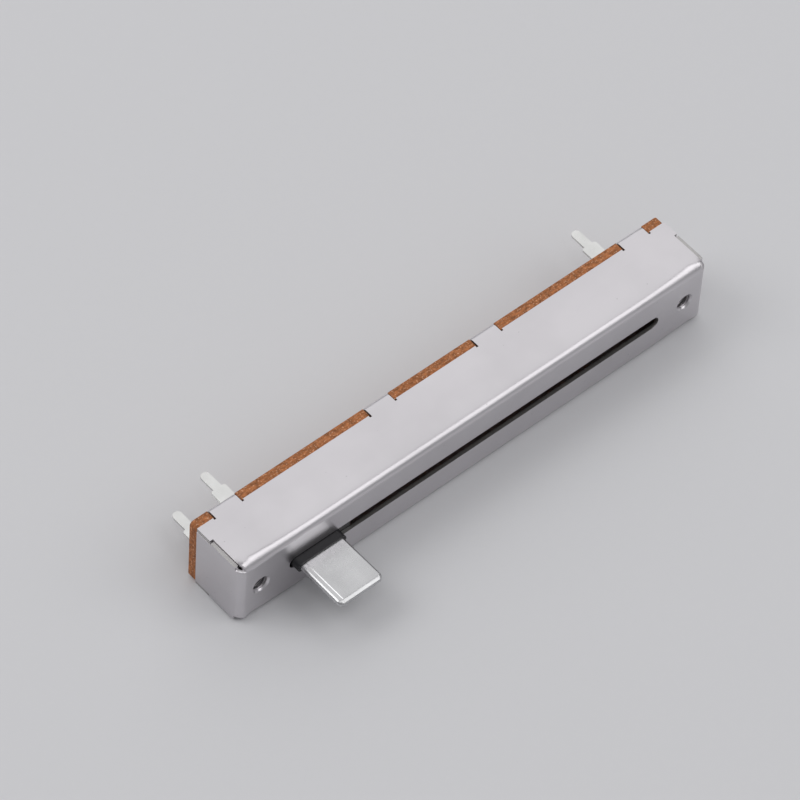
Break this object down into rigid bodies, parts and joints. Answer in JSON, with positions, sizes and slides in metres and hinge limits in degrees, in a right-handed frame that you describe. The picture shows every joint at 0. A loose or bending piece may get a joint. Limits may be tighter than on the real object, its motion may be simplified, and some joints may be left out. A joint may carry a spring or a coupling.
{
  "type": "slide potentiometer",
  "caption": "Slide potentiometer with a flat metal lever in a folded steel cover that is crimped onto a brown laminate board with solder terminals.",
  "frame": {"origin": "midway between the two mounting holes, on the outer face of the cover's slotted side", "axes": "+X along the travel, from the end where the lever is drawn; -Y out of the slotted mounting face, the way the lever points, with the terminals at +Y; +Z across the cover, upwards as it lies on its side"},
  "size_m": [0.088, 0.0285, 0.0128],
  "materials": {
    "plated_steel": "satin zinc plate",
    "phenolic_laminate": "sheared paper laminate",
    "carbon_print": "matt print",
    "silver_print": "matt print",
    "tinned_brass": "dull tin plate",
    "acetal": "moulded black",
    "nickel_plated_steel": "satin nickel plate",
    "phosphor_bronze": "bright rolled",
    "spring_steel": "bright rolled"
  },
  "bodies": {
    "housing": {"cover": "plated_steel", "base_board": "phenolic_laminate", "resistive_track": "carbon_print", "collector_track": "silver_print", "end_pad_start": "silver_print", "end_pad_end": "silver_print", "terminal_start": "tinned_brass", "terminal_wiper": "tinned_brass", "terminal_end": "tinned_brass", "eyelet_start": "tinned_brass", "eyelet_wiper": "tinned_brass", "eyelet_end": "tinned_brass"},
    "slider": {"carriage": "acetal", "lever": "nickel_plated_steel", "wiper_contact": "phosphor_bronze", "drag_spring": "spring_steel"}
  },
  "joints": [
    {"name": "lever_slide", "type": "slide", "parent": "housing", "child": "slider", "axis": [1, 0, 0], "range_m": [0, 0.06]}
  ]
}
